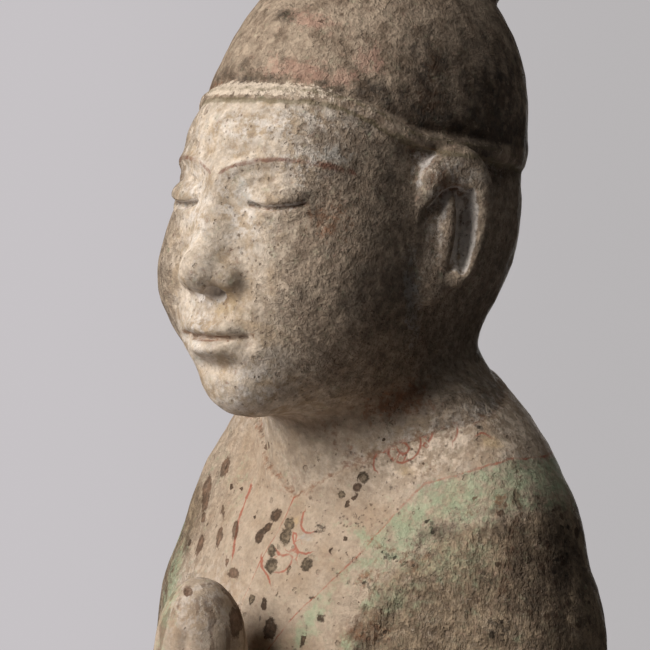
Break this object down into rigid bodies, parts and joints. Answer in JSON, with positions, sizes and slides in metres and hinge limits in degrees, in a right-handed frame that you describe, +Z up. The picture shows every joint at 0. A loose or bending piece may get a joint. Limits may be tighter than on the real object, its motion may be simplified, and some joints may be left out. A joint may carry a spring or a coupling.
{
  "type": "pottery courtier figure",
  "caption": "Standing pottery courtier in a long wide-sleeved robe and round cap, hands clasped before the chest, on a low flat slab.",
  "frame": {"origin": "middle of the slab's underside", "axes": "+Z up the figure, -Y the way it faces, +X towards its left hand"},
  "size_m": [0.164, 0.15, 0.62],
  "materials": {
    "painted_clay": "unglazed low-fired clay with worn white slip, dark cap paint, thin red lines and a pale green strip, grainy and matt"
  },
  "bodies": {
    "root": {"courtier_figure": "painted_clay"}
  },
  "joints": []
}
